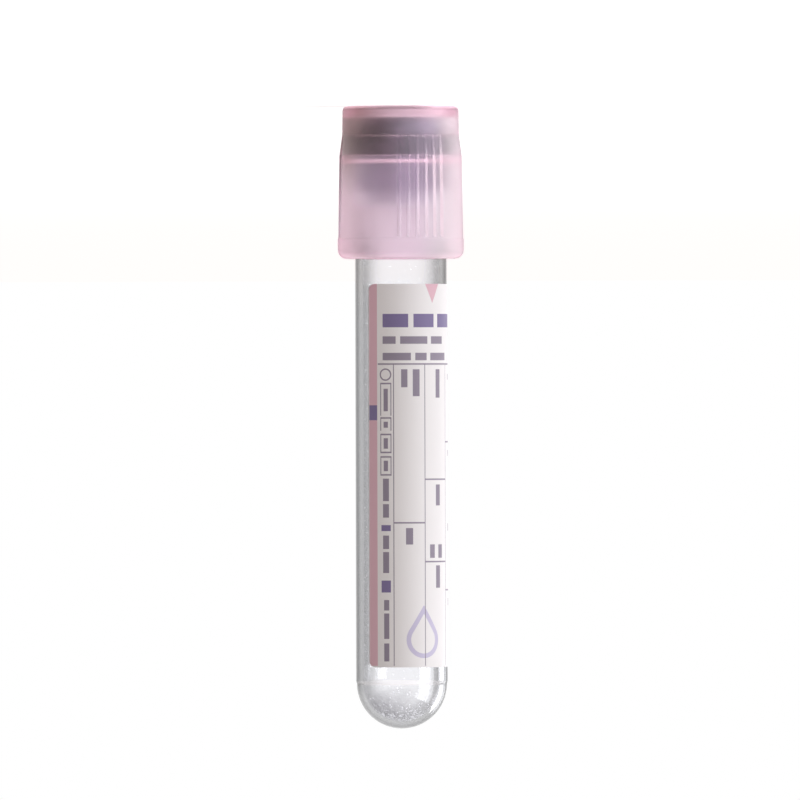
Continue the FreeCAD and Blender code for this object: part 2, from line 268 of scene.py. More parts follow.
@named
class StageSizes(bpy.types.PropertyGroup):
    """The floor, the lamps and the camera."""

    floor_size: length(6000.0, "Side of the floor")
    floor_white: share(0.86, "White of the floor's own colour")
    floor_glow: number(0.66, "White that the floor adds where it is seen")
    surroundings: share(0.42, "Strength of the light from all round")
    fill: colour(0xFFF4EF, "Colour of the light from all round")
    key_power: number(3.45, "Power of the large lamp", unit="POWER")
    lamp_colour: colour(0xF8FAFF, "Colour of both lamps")
    rim_power: number(1.5, "Power of the lamp behind", unit="POWER")
    rim_side: length(500.0, "Side of the lamp behind")
    key_side: length(550.0, "Side of the large lamp")
    lens: number(700.0, "Focal length in millimetres", min=20.0)
    view_height: length(104.8, "What the picture's height covers")
    above: length(2.28, "From the tube's middle to the picture's, towards the closure")
    aside: length(0.16, "From the tube's axis to the picture's middle")
    lean: angle(-0.15, "Small roll of the camera")


class SampleTube(bpy.types.PropertyGroup):
    """All of the sample tube's settings."""

    tube: PointerProperty(type=TubeSizes)
    stopper: PointerProperty(type=StopperSizes)
    shield: PointerProperty(type=ShieldSizes)
    label: PointerProperty(type=LabelSizes)
    additive: PointerProperty(type=AdditiveSizes)
    stage: PointerProperty(type=StageSizes)


# ---- node trees written as expressions


def through(operation, *first):
    """A method that puts its signal, the first values and those it is given through one Math node."""
    return lambda signal, *values: signal.math(operation, *first, *values)


class Signal:
    """A node's output. Python's operators on it add Math nodes to its tree."""

    def __init__(self, nodes, socket):
        self.nodes = nodes
        self.socket = socket

    def math(self, operation, *values):
        """This value and up to two others through one Math node."""
        return self.nodes.add("ShaderNodeMath", dict(enumerate((self, *values))), operation=operation)

    def other(self, name):
        """Another output of the same node."""
        return Signal(self.nodes, self.socket.node.outputs[name])

    __add__ = __radd__ = through("ADD")
    __sub__ = through("SUBTRACT")
    __rsub__ = through("MULTIPLY_ADD", -1.0)
    __neg__ = through("MULTIPLY", -1.0)
    __mul__ = __rmul__ = through("MULTIPLY")
    __truediv__ = through("DIVIDE")
    __abs__ = through("ABSOLUTE")
    __lt__ = through("LESS_THAN")
    __gt__ = through("GREATER_THAN")
    __or__ = through("MAXIMUM")
    __and__ = through("MINIMUM")

    def within(self, low, high):
        """0 at low, 1 at high, held outside them, and smooth between."""
        values = {"Value": self, "From Min": low, "From Max": high}
        return self.nodes.add("ShaderNodeMapRange", values, interpolation_type="SMOOTHSTEP")

    def hill(self, foot, top, end, far_foot):
        """0 at the foot, 1 from the top to its end, and 0 again at the far foot."""
        return self.within(foot, top) * (1 - self.within(end, far_foot))


class Nodes:
    """Adds nodes to one tree."""

    def __init__(self, tree):
        self.tree = tree

    def add(self, kind, values=None, output=0, **settings):
        """One node: its settings first, then its sockets' values or links. Returns one of its outputs."""
        node = self.tree.nodes.new(kind)
        for name, setting in settings.items():
            if name == "stops":
                self.set_stops(node.color_ramp, setting)
            else:
                setattr(node, name, setting)
        for socket, value in (values or {}).items():
            if isinstance(value, Signal):
                self.tree.links.new(value.socket, node.inputs[socket])
            else:
                node.inputs[socket].default_value = value
        return Signal(self, node.outputs[output]) if node.outputs else None

    @staticmethod
    def set_stops(ramp, stops):
        """A ramp that keeps each stop's grey until the next one."""
        ramp.interpolation = "CONSTANT"
        for spot, grey in stops:
            ramp.elements.new(spot).color = (grey, grey, grey, 1.0)
        for spare in (0, -1):
            ramp.elements.remove(ramp.elements[spare])

    def parts(self, vector):
        """A vector's X, Y and Z."""
        x = self.add("ShaderNodeSeparateXYZ", {"Vector": vector})
        return x, x.other("Y"), x.other("Z")

    def spot(self):
        """X, Y and Z in the piece's own space, for a material."""
        return self.parts(self.add("ShaderNodeTexCoord", output="Object"))

    def mix(self, factor, first, second):
        """Two colours mixed by a factor."""
        values = {0: factor, 6: first, 7: second}
        return self.add("ShaderNodeMix", values, output=2, data_type="RGBA")

    def noise(self, scale, detail=2.0, stretch=(1.0, 1.0, 1.0)):
        """Noise in the piece's own space, in lumps of about 1 / scale metres."""
        spot = self.add("ShaderNodeTexCoord", output="Object")
        spot = self.add("ShaderNodeVectorMath", {0: spot, 1: stretch}, operation="MULTIPLY")
        return self.add("ShaderNodeTexNoise", {"Vector": spot, "Scale": scale, "Detail": detail})

    def bump(self, height, depth):
        """A bump of that depth in metres where the height signal is 1."""
        return self.add("ShaderNodeBump", {"Height": height, "Distance": depth})


def length_of(x, y):
    """How far the point of two signals is from zero."""
    return (x * x + y * y).math("SQRT")


def opaque(rgb):
    """A colour setting as the four numbers that a socket takes."""
    return (*rgb, 1.0)


BLACK = opaque((0.0, 0.0, 0.0))
WHITE = opaque((1.0, 1.0, 1.0))


def new_material(name):
    """An empty material and its nodes."""
    material = bpy.data.materials.new(name)
    material.use_nodes = True
    material.node_tree.nodes.clear()
    return material, Nodes(material.node_tree)


def finish(material, nodes, values, volume=None):
    """Ends a material in the usual shader. Returns the material."""
    shader = nodes.add("ShaderNodeBsdfPrincipled", values)
    ends = {"Surface": shader, "Volume": volume} if volume else {"Surface": shader}
    nodes.add("ShaderNodeOutputMaterial", ends)
    return material


# ---- outlines and turned meshes


def arc(centre, radius, start, end, steps):
    """Points on an arc about (radius, height), from start to end in degrees from outwards to upwards."""
    turns = [math.radians(start + (end - start) * step / steps) for step in range(steps + 1)]
    return [(centre[0] + radius * math.cos(turn), centre[1] + radius * math.sin(turn)) for turn in turns]


def rounded(corners, closed=False):
    """The outline through (radius, height) corners; a third number rounds the corner by an arc."""
    points, last_corner = [], len(corners) - 1
    for i, corner in enumerate(corners):
        end = not closed and i in (0, last_corner)
        if len(corner) == 2 or end:
            points.append(tuple(corner[:2]))
            continue
        here = Vector(corner[:2])
        back = (Vector(corners[i - 1][:2]) - here).normalized()
        on = (Vector(corners[(i + 1) % len(corners)][:2]) - here).normalized()
        half = back.angle(on) / 2
        reach = corner[2] / math.tan(half)
        centre = here + (back + on).normalized() * corner[2] / math.sin(half)
        first, last = here + back * reach - centre, here + on * reach - centre
        turn = math.atan2(first.cross(last), first.dot(last))
        for step in range(ROUND_STEPS + 1):
            points.append(tuple(centre + Matrix.Rotation(turn * step / ROUND_STEPS, 2) @ first))
    return points


def guarded(points, closed=False, guard=0.04 * MM):
    """The outline with a point near each end of its long runs, so that shading turns only at corners."""
    result = []
    for i, point in enumerate(points):
        result.append(point)
        if i == len(points) - 1 and not closed:
            break
        here, there = Vector(point), Vector(points[(i + 1) % len(points)])
        run = (there - here).length
        if run > 6 * guard:
            result += [tuple(here.lerp(there, part)) for part in (guard / run, 1 - guard / run)]
    return result


def place(radius, turn, height):
    """The point at a radius, a turn from the front and a height from the round bottom's tip."""
    return (-radius * math.sin(turn), -radius * math.cos(turn), TIP - height)


def turned(name, outline, turns, closed=False):
    """A closed mesh turned about the axis from an outline that is a loop, or whose ends are on the axis."""
    points, rings = [], []
    for radius, height in outline:
        if radius < HAIR:
            rings.append([len(points)] * len(turns))
            points.append(place(0, 0, height))
        else:
            rings.append(list(range(len(points), len(points) + len(turns))))
            points.extend(place(radius, turn, height) for turn in turns)
    faces = []
    for low, high in zip(rings, rings[1:] + rings[:1] if closed else rings[1:]):
        for i in range(len(turns)):
            j = (i + 1) % len(turns)
            corners = (low[i], low[j], high[j], high[i])
            faces.append(list(dict.fromkeys(corners)))
    return new_piece(name, points, faces)


def new_object(name, data):
    """An object in the scene, at the origin."""
    made = bpy.data.objects.new(name, data)
    bpy.context.scene.collection.objects.link(made)
    return made


def new_piece(name, points, faces):
    """A smooth mesh object at the origin, with its faces pointing outwards."""
    mesh = bpy.data.meshes.new(name)
    mesh.from_pydata(points, [], faces)
    shell = bmesh.new()
    shell.from_mesh(mesh)
    if shell.calc_volume(signed=True) < 0:
        bmesh.ops.reverse_faces(shell, faces=shell.faces)
    shell.to_mesh(mesh)
    shell.free()
    mesh.shade_smooth()
    return new_object(name, mesh)


def even_turns(steps):
    """Turns spaced evenly around the axis."""
    return [2 * math.pi * step / steps for step in range(steps)]


def through_tree(piece, tree, sizes, values):
    """Runs a geometry tree on a piece and keeps its plain mesh. An input without a value is a setting's."""
    modifier = piece.modifiers.new(tree.name, "NODES")
    modifier.node_group = tree
    for item in tree.interface.items_tree:
        if item.in_out == "INPUT" and item.name != "Geometry":
            value = values[item.name] if item.name in values else getattr(sizes, item.name)
            modifier[item.identifier] = value
    bpy.context.view_layer.update()
    evaluated = piece.evaluated_get(bpy.context.evaluated_depsgraph_get())
    mesh = bpy.data.meshes.new_from_object(evaluated)
    piece.modifiers.remove(modifier)
    piece.data = mesh
    mesh.name = piece.name


def new_geometry_tree(name, numbers, counts):
    """A geometry tree with a mesh in and out. Returns it, its nodes and its input signals by name."""
    kinds = {"Geometry": "Geometry", **dict.fromkeys(numbers, "Float"), **dict.fromkeys(counts, "Int")}
    kinds["material"] = "Material"
    tree = bpy.data.node_groups.new(name, "GeometryNodeTree")
    tree.interface.new_socket("Geometry", in_out="OUTPUT", socket_type="NodeSocketGeometry")
    for title, kind in kinds.items():
        tree.interface.new_socket(title, in_out="INPUT", socket_type="NodeSocket" + kind)
    nodes = Nodes(tree)
    source = nodes.add("NodeGroupInput")
    return tree, nodes, {title: source.other(title) for title in kinds}


def end_geometry_tree(nodes, shape, material):
    """Makes instances real, gives the shape its material and sends it out."""
    real = nodes.add("GeometryNodeRealizeInstances", {"Geometry": shape})
    finished = nodes.add("GeometryNodeSetMaterial", {"Geometry": real, "Material": material})
    nodes.add("NodeGroupOutput", {"Geometry": finished})


# ---- finishes


def clear_plastic(sizes, label):
    """Clear moulded plastic: painted shade where its bare outside is seen edge-on, and misty inside its
    bottom.
    """
    material, nodes = new_material("clear_plastic")
    x, y, z = nodes.spot()
    bowl = TIP - TUBE_RADIUS
    above = (z - bowl) | 0.0
    outside = (x * x + y * y + above * above).math("SQRT") > TUBE_RADIUS - sizes.wall / 2
    open_wall = z.within(TIP - SKIRT_END - 5 * MM, TIP - SKIRT_END) * 0.7 + 0.3
    turn = ((-x).math("ARCTAN2", -y) - label.left_edge).math("FLOORED_MODULO", 2 * math.pi)
    covered = (turn < label.sweep) & (z > TIP - LABEL_TOP) & (z < TIP - LABEL_BOTTOM)
    on_bowl = z.within(bowl, bowl + 2 * MM) * 0.15
    on_step = abs(z - bowl) < 0.25 * MM
    bare = outside * open_wall * (1 - covered) * (1 - on_bowl) * (1 - on_step * 0.15)
    # Painted shade: the bare outside is drawn towards the edge colour where it is seen edge-on, for the dark
    # surroundings that a clear wall shows there. It is weaker within the closure, on the round bottom and at
    # the step, and there is none under the label.
    facing = nodes.add("ShaderNodeLayerWeight", {"Blend": 0.5}, output="Facing")
    edge = facing.within(0.02, 0.38) * 0.76 + facing.within(0.52, 0.7) * 0.24
    cloudy = nodes.noise(1400.0, detail=4.0).within(0.35, 0.7) * 0.5 + 0.5
    # The mist is drawn stronger towards +X, the side away from the lamps.
    stronger_away_from_lamps = x.within(-4 * MM, 4 * MM) * 0.75 + 0.25
    mist = cloudy * (1 - outside) * z.within(TIP - 6.5 * MM, TIP - 2 * MM) * stronger_away_from_lamps
    misty = nodes.mix(mist, opaque(sizes.tint), opaque(sizes.mist))
    values = {
        "Base Color": nodes.mix(edge * bare, misty, opaque(sizes.edge_tint)),
        "Transmission Weight": 1.0,
        "IOR": 1.575,
        "Roughness": 0.02,
        "Normal": nodes.bump(nodes.noise(900.0, stretch=(1.0, 1.0, 0.12)), 0.004 * MM),
    }
    return finish(material, nodes, values)


def stopper_rubber(sizes):
    """Matt moulded rubber with a fine grain and a faint bloom, and painted light that draws the plug paler,
    and paler still towards its end.
    """
    material, nodes = new_material("stopper_rubber")
    z = nodes.spot()[2]
    start = TIP - MOUTH
    bloom = nodes.noise(350.0, detail=4.0)
    # Painted light on the plug, stronger towards its end. pale is both the bloom's colour and the plug's
    # painted light.
    lit_plug = z.within(start, start + 0.3 * MM)
    lit_end = z.within(start + 3.8 * MM, start + 5.9 * MM) * (1 - bloom * 0.2)
    pale = opaque(min(1.0, channel * sizes.plug_paler) for channel in sizes.rubber)
    rubber = nodes.mix(bloom.within(0.35, 0.75) * 0.2 + lit_plug * 0.8, opaque(sizes.rubber), pale)
    values = {
        "Base Color": nodes.mix(lit_end, rubber, opaque(sizes.plug_end)),
        "Roughness": bloom * 0.2 + 0.5,
        "Normal": nodes.bump(nodes.noise(9000.0, detail=3.0), 0.006 * MM),
    }
    return finish(material, nodes, values)


def edge_light(sizes, z, radius):
    """Where the plastic gathers light: the slope under the ledge, the skirt's foot and the collar's top."""
    ledge = TIP - MOUTH + sizes.ledge_thickness
    foot = TIP - SKIRT_END
    slope = (radius < TUBE_RADIUS + sizes.skirt_gap - 0.02 * MM) * (z > ledge - 0.1 * MM)
    slope = slope * (z < ledge + sizes.ledge_bevel)
    on_foot = z.within(foot - 0.9 * MM, foot - 0.2 * MM) * 0.3
    rounding = (radius > sizes.collar_top - sizes.collar_round) * (1 - z.within(0.1 * MM, 0.45 * MM))
    end_face = (radius < sizes.collar_bore) * (z < 0.35 * MM) * 0.25
    return slope + on_foot + (end_face | (rounding * 0.8))


def lamp_veil(sizes, x, z):
    """The veil that the lamps lay over the plastic, apart for the skirt, the plug and the collar."""
    on_skirt = z.within(6.2 * MM, 7 * MM)
    past_plug = z.within(12 * MM, 14 * MM)
    skirt = (-x).hill(-3.5 * MM, 0.5 * MM, 2 * MM, 6.5 * MM) * sizes.skirt_veil * (1 - past_plug * 0.75)
    plug = x.hill(1 * MM, 3.5 * MM, 5 * MM, 7 * MM) * sizes.plug_veil * (1 - past_plug)
    collar = (-x).hill(-3 * MM, 3.5 * MM, 3.8 * MM, 6.6 * MM) * sizes.collar_veil
    collar = collar * z.within(0.8 * MM, 2.5 * MM) * (1 - z.within(3 * MM, 4.5 * MM) * 0.45)
    return (skirt + plug) * on_skirt + collar * (1 - on_skirt)


def pink_plastic(sizes):
    """Milky see-through plastic with a satin skin: painted light on the side turned to the lamps, as a paler
    tint and a glowing veil, and painted shade on the side turned away.
    """
    material, nodes = new_material("pink_plastic")
    x, y, z = nodes.spot()
    radius = length_of(x, y)
    outside = radius > sizes.groove_root - 0.6 * MM
    # Painted shade: the outside is tinted towards shade on the side turned away from the lamps.
    shaded = x.within(-1 * MM, 7.5 * MM) * (1 - z.within(3.5 * MM, 12.5 * MM))
    shaded = outside * (shaded | (x.within(1 * MM, 6 * MM) * (1 - z.within(1.2 * MM, 2.2 * MM))))
    deep = opaque(channel * 0.94 for channel in sizes.plastic)
    tint = nodes.mix(nodes.noise(260.0, detail=3.0), opaque(sizes.plastic), deep)
    tint = nodes.mix(shaded, tint, opaque(sizes.shade))
    light = nodes.mix(edge_light(sizes, z, radius), BLACK, opaque(sizes.gathered))
    skin = nodes.noise(5200.0)
    # Painted light: the Base Color is drawn towards thin, a paler tint, on the side turned to the lamps.
    values = {
        "Base Color": nodes.mix((-x).within(2 * MM, 6 * MM), tint, opaque(sizes.thin)),
        "Roughness": skin * 0.06 + 0.45,
        "Normal": nodes.bump(skin, 0.003 * MM),
        "Transmission Weight": 0.97,
        "IOR": 1.42,
        "Emission Color": nodes.mix(lamp_veil(sizes, x, z) * outside, light, opaque(sizes.veil)),
        "Emission Strength": 1.0,
    }
    depth = {"Color": opaque(1 + math.log(channel) / 3 for channel in sizes.depth), "Density": 3 / MM}
    volume = nodes.add("ShaderNodeVolumeAbsorption", depth)
    return finish(material, nodes, values, volume)


def dried_white(sizes):
    """Dried droplets: white and glossy, with a glow for the light that the clear wall lends them."""
    material, nodes = new_material("additive")
    grain = nodes.noise(12000.0)
    values = {
        "Base Color": nodes.mix(grain, opaque(sizes.white), WHITE),
        "Roughness": grain * 0.2 + 0.15,
        "Emission Color": opaque(sizes.white),
        "Emission Strength": sizes.glow,
    }
    return finish(material, nodes, values)


# The label's print, in millimetres: spans across from its left edge, and up from its lower edge.
# Each field is (ink, spans across, spans up), and one that also has a wall is hollow.
PRINT = [
    ("pink", [(0.0, 1.36)], [(0.0, 60.0)]),
    ("purple", [(0.0, 1.36)], [(32.2, 34.1)]),
    ("purple", [(2.2, 5.6), (6.3, 9.4), (10.1, 14.8)], [(44.4, 46.0)]),
    ("grey", [(2.2, 4.0), (4.5, 8.3), (8.9, 11.2)], [(42.1, 43.1)]),
    ("grey", [(2.2, 6.0), (6.6, 8.2), (8.8, 12.0)], [(40.0, 41.0)]),
    ("grey", [(1.42, 30.0)], [(39.44, 39.56)]),
    ("grey", [(3.54, 3.66), (7.84, 7.96), (12.14, 12.26), (18.5, 18.62), (25.0, 25.12)], [(0.0, 39.5)]),
    ("grey", [(3.6, 7.9)], [(18.69, 18.81)]),
    ("grey", [(7.9, 12.2)], [(24.37, 24.49), (13.63, 13.75)]),
    ("grey", [(12.2, 25.06)], [(29.3, 29.42), (19.6, 19.72), (9.9, 10.02)]),
    ("grey", [(1.85, 3.4)], [(32.7, 37.0), (30.8, 32.5), (27.95, 30.4), (24.95, 27.45)], 0.12),
    ("grey", [(2.35, 2.9)], [(33.4, 36.3), (31.3, 32.0), (28.5, 29.9), (25.5, 26.9)]),
    ("grey", [(2.2, 3.05)], [(19.4, 21.2), (21.7, 24.6), (12.3, 14.9), (15.4, 17.2)]),
    ("purple", [(1.95, 3.3)], [(9.6, 11.3), (17.75, 18.55)]),
    ("grey", [(2.25, 3.0)], [(0.6, 3.1), (3.6, 6.9), (7.4, 8.8)]),
    ("grey", [(4.6, 5.5)], [(36.5, 38.9)]),
    ("grey", [(6.25, 7.15)], [(35.4, 38.9)]),
    ("grey", [(5.3, 6.2)], [(15.9, 18.2)]),
    ("grey", [(9.7, 10.6)], [(35.2, 38.9), (21.0, 23.8), (10.2, 13.2)]),
    ("grey", [(8.7, 9.5), (10.2, 11.0)], [(14.1, 16.0)]),
    ("grey", [(13.4, 17.2), (19.4, 23.1)], [(37.4, 38.3), (27.4, 28.3), (17.7, 18.6), (8.0, 8.9)]),
]
# Centre, radius and half the line's width of the pale drop and the grey ring; the pink arrow's middle, the
# height of its tip and how fast it widens.
DROP = ((7.75, 3.6), 2.1, 0.3)
RING = ((2.62, 38.25), 0.72, 0.09)
ARROW_MIDDLE, ARROW_TIP, ARROW_WIDENS = 9.2, 47.6, 0.46


def bands(nodes, signal, spans, total):
    """1 where the signal, which runs from 0 to 1 over the total, is in one of the spans."""
    stops = [(0.0, 0.0)]
    for low, high in sorted(spans):
        stops += [(max(low / total, 1e-5), 1.0), (min(high / total, 1.0), 0.0)]
    return nodes.add("ShaderNodeValToRGB", {"Fac": signal}, stops=stops)


def field(nodes, across, up, width, height, spans_across, spans_up, wall=0.0):
    """1 inside the fields that the spans make, or only on their edges where there is a wall."""
    inside = bands(nodes, across, spans_across, width) * bands(nodes, up, spans_up, height)
    if not wall:
        return inside
    inner_across = [(low + wall, high - wall) for low, high in spans_across]
    inner_up = [(low + wall, high - wall) for low, high in spans_up]
    return inside - bands(nodes, across, inner_across, width) * bands(nodes, up, inner_up, height)


def ring(across, up, centre, radius, line):
    """1 on a ring about a centre, in the units of the two signals."""
    aside, above = across - centre[0], up - centre[1]
    away = length_of(aside, above)
    return abs(away - radius) < line


def drop(across, up, centre, radius, line):
    """1 on the outline of a falling drop: a circle below and two straight sides that meet above it."""
    aside, above = abs(across - centre[0]), up - centre[1]
    slope = math.radians(32.0)
    away = length_of(aside, above)
    side = aside * math.cos(slope) + above * math.sin(slope)
    upper = above > radius * math.sin(slope)
    edge = upper * side + (1 - upper) * away
    return abs(edge - radius) < line


def label_film(sizes, width, height):
    """White film with a faint gloss, printed with plain bars, boxes, rules and shapes; its back glows."""
    material, nodes = new_material("label_film")
    x, y, _ = nodes.spot()
    back = length_of(x, y) < TUBE_RADIUS + sizes.thickness / 2
    across, up, _ = nodes.parts(nodes.add("ShaderNodeUVMap", uv_map="label"))
    masks = {"pale": drop(across * width, up * height, *DROP)}
    for ink, *spans in PRINT:
        mask = field(nodes, across, up, width, height, *spans)
        masks[ink] = masks[ink] | mask if ink in masks else mask
    masks["grey"] = masks["grey"] | ring(across * width, up * height, *RING)
    arrow = (up * height - ARROW_TIP) * ARROW_WIDENS
    masks["pink"] = masks["pink"] | (abs(across * width - ARROW_MIDDLE) < arrow)
    colour_now = opaque(sizes.film)
    for ink in ("pale", "pink", "grey", "purple"):
        colour_now = nodes.mix(masks[ink], colour_now, opaque(getattr(sizes, ink)))
    grain = nodes.noise(2600.0, detail=3.0)
    values = {
        "Base Color": colour_now,
        "Roughness": grain * 0.12 + 0.42,
        "Normal": nodes.bump(grain, 0.003 * MM),
        "IOR": 1.45,
        "Emission Color": nodes.mix(back, BLACK, colour_now),
        "Emission Strength": sizes.glow,
    }
    return finish(material, nodes, values)


# ---- operators


class MakeTube(bpy.types.Operator):
    """Makes the clear tube: a straight wall with a slight flare, and a round bottom below a small step."""

    bl_idname = "sample_tube.make_tube"
    bl_label = "Make tube"

    def execute(self, context):
        sizes = context.scene.sample_tube.tube
        end_radius = TUBE_RADIUS - sizes.bottom_step
        bore = TUBE_RADIUS - sizes.wall
        step_height = end_radius + sizes.step_slope * sizes.bottom_step
        outside = arc((0, end_radius), end_radius, -90, 0, steps=48)
        inside = arc((0, end_radius), bore, 0, -90, steps=40)
        mouth = MOUTH - HAIR
        between = rounded([
            outside[-1],
            (TUBE_RADIUS, step_height, sizes.step_round),
            (TUBE_RADIUS, SKIRT_END - sizes.flare_start),
            (MOUTH_RADIUS, mouth, sizes.mouth_round),
            (bore + sizes.mouth_lead, mouth, sizes.mouth_lead / 4),
            (bore, mouth - sizes.mouth_lead, sizes.mouth_lead / 4),
            inside[0],
        ])
        outline = outside[:-1] + guarded(between) + inside[1:]
        tube = turned("tube_clear", outline, even_turns(sizes.around))
        tube.data.materials.append(clear_plastic(sizes, context.scene.sample_tube.label))
        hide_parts("tube")
        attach(tube, "tube_body")
        return {"FINISHED"}


class MakeStopper(bpy.types.Operator):
    """Makes the rubber stopper: a cone-shaped head with a well, a flange and a hollow plug."""

    bl_idname = "sample_tube.make_stopper"
    bl_label = "Make stopper"

    def execute(self, context):
        sizes = context.scene.sample_tube.stopper
        wall = context.scene.sample_tube.tube.wall
        plug = TUBE_RADIUS - wall + sizes.plug_squeeze
        plug_end = plug - sizes.plug_taper
        recess_roof = sizes.recess_radius - sizes.recess_taper
        flange_top = MOUTH + sizes.flange_thickness
        head_foot = FLANGE_RADIUS - sizes.flange_step
        head_top = head_foot - sizes.head_taper
        well_rim = head_top - sizes.well_land
        well_floor = HEAD_TOP - sizes.well_depth
        small = sizes.edge_round / 3
        outline = guarded(rounded([
            (0, PLUG_END + sizes.recess_depth),
            (recess_roof, PLUG_END + sizes.recess_depth, sizes.edge_round),
            (sizes.recess_radius, PLUG_END, small),
            (plug_end, PLUG_END, sizes.edge_round),
            (plug, PLUG_END + sizes.plug_taper_length, sizes.edge_round),
            (plug, MOUTH, small),
            (FLANGE_RADIUS, MOUTH, small),
            (FLANGE_RADIUS, flange_top, small),
            (head_foot, flange_top, small),
            (head_top, HEAD_TOP, sizes.edge_round),
            (well_rim, HEAD_TOP, sizes.edge_round),
            (well_rim - sizes.well_taper, well_floor, sizes.edge_round),
            (0, well_floor),
        ]))
        stopper = turned("stopper_rubber", outline, even_turns(192))
        stopper.data.materials.append(stopper_rubber(sizes))
        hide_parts("stopper")
        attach(stopper, "closure")
        return {"FINISHED"}


def grip_tree():
    """A geometry tree that presses groups of grooves into a turned wall; the ribs stay between them."""
    numbers = ("groove_start", "groove_pitch", "groove_root", "groove_floor", "groove_mouth", "foot")
    tree, nodes, given = new_geometry_tree("grip ribs", numbers, ("groove_count", "groove_groups"))
    pitch, root = given["groove_pitch"], given["groove_root"]
    x, y, z = nodes.parts(nodes.add("GeometryNodeInputPosition"))
    radius = length_of(x, y)
    turn = (-x).math("ARCTAN2", -y)
    half_pitch = pitch * 0.5
    group_turn = given["groove_groups"].math("POWER", -1.0) * (2 * math.pi)
    in_group = (turn - given["groove_start"] + half_pitch).math("FLOORED_MODULO", group_turn) - half_pitch
    groove = ((in_group / pitch).math("ROUND") | 0.0) & (given["groove_count"] - 1)
    aside = abs(radius * (in_group - groove * pitch).math("SINE"))
    share_out = aside.within(given["groove_floor"], given["groove_mouth"])
    pressed = root + (radius - root) * share_out
    scale = (radius & (pressed | root)) / radius
    moved = nodes.add("ShaderNodeCombineXYZ", {"X": x * scale, "Y": y * scale, "Z": z})
    values = {"Geometry": given["Geometry"], "Selection": z < given["foot"], "Position": moved}
    shaped = nodes.add("GeometryNodeSetPosition", values)
    end_geometry_tree(nodes, shaped, given["material"])
    return tree


def grip_turns(sizes):
    """Turns around the axis: close together across each group of grooves, and wider apart between groups."""
    close, wide = math.radians(0.5), math.radians(1.5)
    spacing = 2 * math.pi / sizes.groove_groups
    sweep = sizes.groove_pitch * sizes.groove_count
    start = sizes.groove_start - sizes.groove_pitch / 2
    turns = []
    for group in range(sizes.groove_groups):
        first = start + group * spacing
        for begin, run, apart in ((first, sweep, close), (first + sweep, spacing - sweep, wide)):
            steps = round(run / apart)
            turns += [begin + run * step / steps for step in range(steps)]
    return turns


class MakeShield(bpy.types.Operator):
    """Makes the shield: a collar with the needle's opening, a skirt with grip ribs, and a bottom rim."""

    bl_idname = "sample_tube.make_shield"
    bl_label = "Make shield"

    def execute(self, context):
        sizes = context.scene.sample_tube.shield
        stopper = context.scene.sample_tube.stopper
        skirt_bore = TUBE_RADIUS + sizes.skirt_gap
        flange_bore = FLANGE_RADIUS + sizes.flange_gap
        seat, head = MOUTH + stopper.flange_thickness + HAIR, HEAD_TOP + HAIR
        ledge = MOUTH_RADIUS + sizes.ledge_clearance
        ledge_end = MOUTH - sizes.ledge_thickness
        rim_top = SKIRT_END + sizes.rim_height
        foot = rim_top + sizes.rim_bevel
        small = sizes.edge_round
        rim = [
            (skirt_bore + sizes.skirt_lead, SKIRT_END, small),
            (RIM_RADIUS, SKIRT_END, sizes.rim_round),
            (RIM_RADIUS, rim_top, small),
            (sizes.skirt_low, foot, small),
        ]
        slope = (sizes.skirt_top - sizes.skirt_low) / (MOUTH - foot)
        start = foot + 3 * small
        outside = [
            (sizes.skirt_low + slope * (start - foot), start),
            (sizes.skirt_top, MOUTH, sizes.skirt_round),
            (sizes.collar_low, MOUTH + sizes.shoulder_height, sizes.shoulder_round),
            (sizes.collar_top, SHIELD_TOP, sizes.collar_round),
        ]
        inside = [
            (PORT_RADIUS, SHIELD_TOP, sizes.port_round),
            (PORT_RADIUS, head, small),
            (sizes.collar_bore, head, small),
            (sizes.collar_bore, seat, small),
            (flange_bore, seat, small),
            (flange_bore, MOUTH - HAIR, small),
            (ledge, MOUTH - HAIR, small),
            (ledge, ledge_end, small),
            (skirt_bore, ledge_end - sizes.ledge_bevel, small),
            (skirt_bore, SKIRT_END + sizes.skirt_lead, small),
        ]
        outline = guarded(rounded(rim + outside + inside, closed=True), closed=True)
        shield = turned("shield_pink", outline, grip_turns(sizes), closed=True)
        values = {"foot": TIP - foot - 2 * small, "material": pink_plastic(sizes)}
        through_tree(shield, grip_tree(), sizes, values)
        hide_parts("shield")
        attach(shield, "closure")
        return {"FINISHED"}


